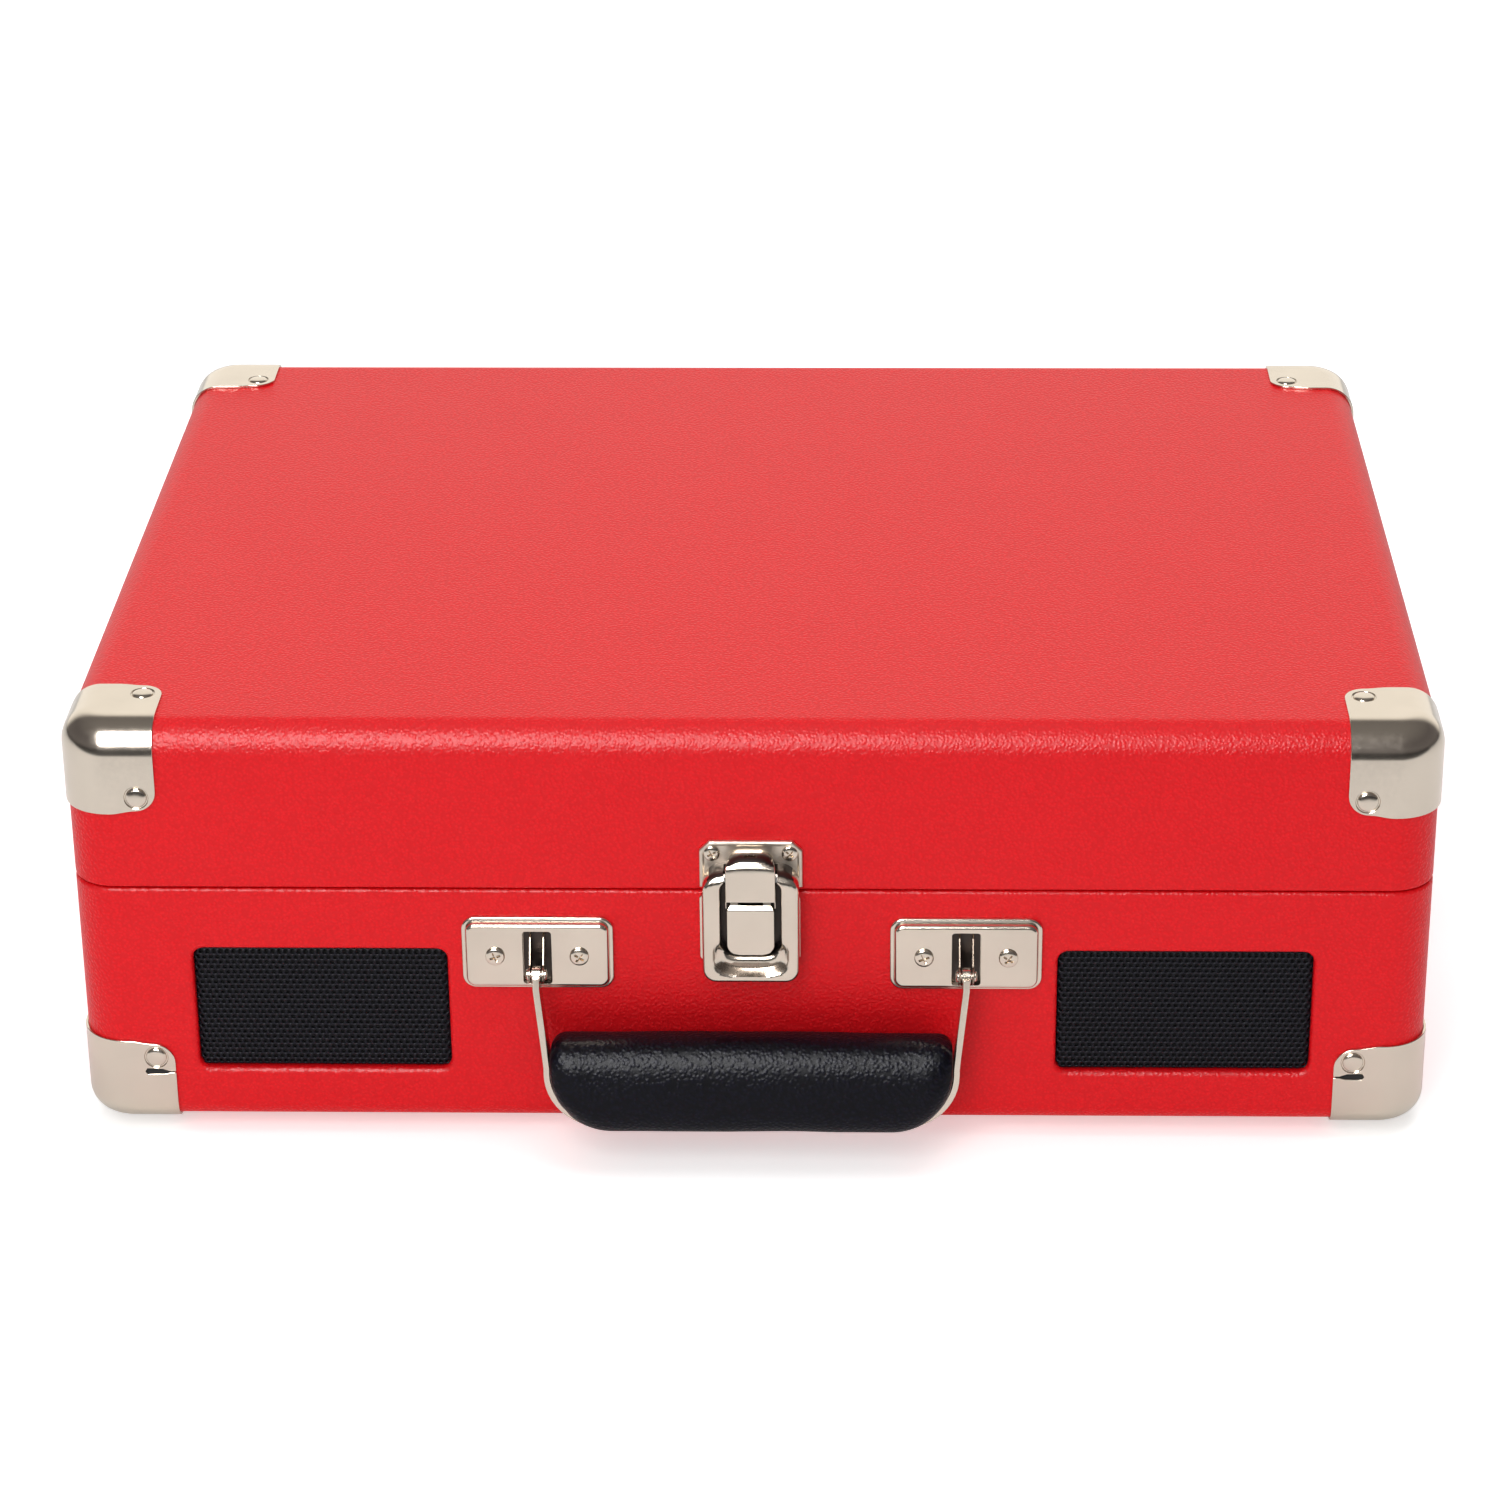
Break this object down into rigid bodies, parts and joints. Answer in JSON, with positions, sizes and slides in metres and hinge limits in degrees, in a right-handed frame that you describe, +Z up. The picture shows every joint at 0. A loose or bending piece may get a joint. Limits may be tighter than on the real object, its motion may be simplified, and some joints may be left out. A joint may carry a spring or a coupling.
{
  "type": "suitcase record player",
  "caption": "Portable record player in a leatherette-covered suitcase with hinged lid, draw latch, corner guards, carrying handle and front speakers.",
  "frame": {"origin": "on the ground under the feet, at the middle of the whole footprint including the handle and the hinges", "axes": "+X to the right seen from the front, -Y out of the front (latch, handle and speakers), +Z up"},
  "size_m": [0.3596, 0.295, 0.1218],
  "materials": {
    "red_leatherette": "red leatherette with a fine pebble grain, bonded to fibreboard",
    "black_leatherette": "black leatherette with a pebble grain",
    "black_sheet": "black painted perforated steel sheet",
    "nickel": "nickel plate, bright",
    "steel": "plain steel",
    "rubber": "black rubber",
    "circuit_board": "green solder mask",
    "red_plastic": "red moulded plastic",
    "black_plastic": "black moulded plastic"
  },
  "bodies": {
    "base": {"base_shell": "red_leatherette", "base_guard_front_left": "nickel", "base_guard_front_right": "nickel", "base_guard_back_left": "nickel", "base_guard_back_right": "nickel", "foot_front_left": "rubber", "foot_front_right": "rubber", "foot_back_left": "rubber", "foot_back_right": "rubber", "grille_left": "black_sheet", "speaker_left": "black_plastic", "grille_right": "black_sheet", "speaker_right": "black_plastic", "handle_bracket_left": "nickel", "handle_pin_left": "nickel", "handle_bracket_right": "nickel", "handle_pin_right": "nickel", "latch_body": "nickel", "latch_lever_pin": "steel", "hinge_base_leaf_left": "nickel", "hinge_pin_left": "steel", "hinge_base_leaf_right": "nickel", "hinge_pin_right": "steel", "deck_plate": "black_leatherette", "spindle": "steel", "motor": "steel", "drive_belt": "rubber", "circuit_board": "circuit_board", "socket_panel": "black_plastic", "arm_base": "black_plastic", "arm_rest": "black_plastic", "cue_guide": "black_plastic", "headphone_socket": "black_plastic", "line_in_socket": "black_plastic", "power_lamp": "red_plastic"},
    "lid": {"lid_shell": "red_leatherette", "lid_guard_front_left": "nickel", "lid_guard_front_right": "nickel", "lid_guard_back_left": "nickel", "lid_guard_back_right": "nickel", "latch_keeper": "nickel", "hinge_lid_leaf_left": "nickel", "hinge_lid_leaf_right": "nickel"},
    "handle": {"handle_strap": "nickel", "handle_grip": "black_leatherette"},
    "lever": {"latch_lever": "nickel"},
    "claw": {"latch_claw": "nickel"},
    "platter": {"platter": "black_plastic", "slip_mat": "rubber"},
    "pulley": {"motor_pulley": "black_plastic"},
    "yoke": {"arm_yoke": "black_plastic"},
    "arm": {"tonearm": "black_plastic", "cartridge": "red_plastic"},
    "lift": {"lift_bar": "black_plastic"},
    "cue": {"cue_lever": "black_plastic"},
    "clip": {"arm_clip": "black_plastic"},
    "speed": {"speed_selector": "black_plastic"},
    "stop": {"auto_stop_switch": "black_plastic"},
    "volume": {"volume_knob": "black_plastic"},
    "adapter": {"single_adapter": "black_plastic"}
  },
  "joints": [
    {"name": "lid_hinge", "type": "hinge", "parent": "base", "child": "lid", "pos_m": [0, 0.14486, 0.0738], "axis": [-1, 0, 0], "range_deg": [0, 100]},
    {"name": "handle_swing", "type": "hinge", "parent": "base", "child": "handle", "pos_m": [0, -0.13324, 0.0526], "axis": [1, 0, 0], "range_deg": [-132, 0]},
    {"name": "latch_lever_turn", "type": "hinge", "parent": "base", "child": "lever", "pos_m": [0, -0.13044, 0.0796], "axis": [-1, 0, 0], "range_deg": [0, 75]},
    {"name": "latch_claw_turn", "type": "hinge", "parent": "lever", "child": "claw", "pos_m": [0, -0.13184, 0.0718], "axis": [-1, 0, 0], "range_deg": [-97.6, 0]},
    {"name": "platter_spin", "type": "hinge", "parent": "base", "child": "platter", "pos_m": [-0.038, 0.00576, 0.075], "axis": [0, 0, -1], "continuous": true},
    {"name": "pulley_spin", "type": "hinge", "parent": "base", "child": "pulley", "pos_m": [-0.09162, 0.05075, 0.07], "axis": [0, 0, -1], "continuous": true},
    {"name": "arm_swing", "type": "hinge", "parent": "base", "child": "yoke", "pos_m": [0.124, 0.09576, 0.08], "axis": [0, 0, -1], "range_deg": [0, 44]},
    {"name": "arm_lift", "type": "hinge", "parent": "yoke", "child": "arm", "pos_m": [0.124, 0.09576, 0.087], "axis": [-1, 0, 0], "range_deg": [0, 3.5]},
    {"name": "cue_lever_turn", "type": "hinge", "parent": "base", "child": "cue", "pos_m": [0.1395, 0.06262, 0.071], "axis": [-1, 0, 0], "range_deg": [0, 40]},
    {"name": "cue_lift", "type": "slide", "parent": "base", "child": "lift", "axis": [0, 0, 1], "range_m": [0, 0.0022]},
    {"name": "arm_clip_turn", "type": "hinge", "parent": "base", "child": "clip", "pos_m": [0.1338, -0.04424, 0.087], "axis": [0, -1, 0], "range_deg": [0, 80]},
    {"name": "speed_select", "type": "hinge", "parent": "base", "child": "speed", "pos_m": [0.152, -0.00424, 0.07], "axis": [0, 0, -1], "range_deg": [0, 60]},
    {"name": "auto_stop_rock", "type": "hinge", "parent": "base", "child": "stop", "pos_m": [0.152, 0.02976, 0.065], "axis": [1, 0, 0], "range_deg": [0, 14]},
    {"name": "volume_turn", "type": "hinge", "parent": "base", "child": "volume", "pos_m": [0.152, -0.09024, 0.072], "axis": [0, 0, -1], "range_deg": [0, 300]},
    {"name": "adapter_lift_out", "type": "slide", "parent": "base", "child": "adapter", "axis": [0, 0, 1], "range_m": [0, 0.025]}
  ],
  "couplings": [
    {"joint": "latch_claw_turn", "follows": "latch_lever_turn", "ratio": -1.3},
    {"joint": "pulley_spin", "follows": "platter_spin", "ratio": 8.3333},
    {"joint": "cue_lever_turn", "follows": "arm_lift", "ratio": 11.428},
    {"joint": "cue_lift", "follows": "arm_lift", "m_per_rad": 0.035982}
  ]
}
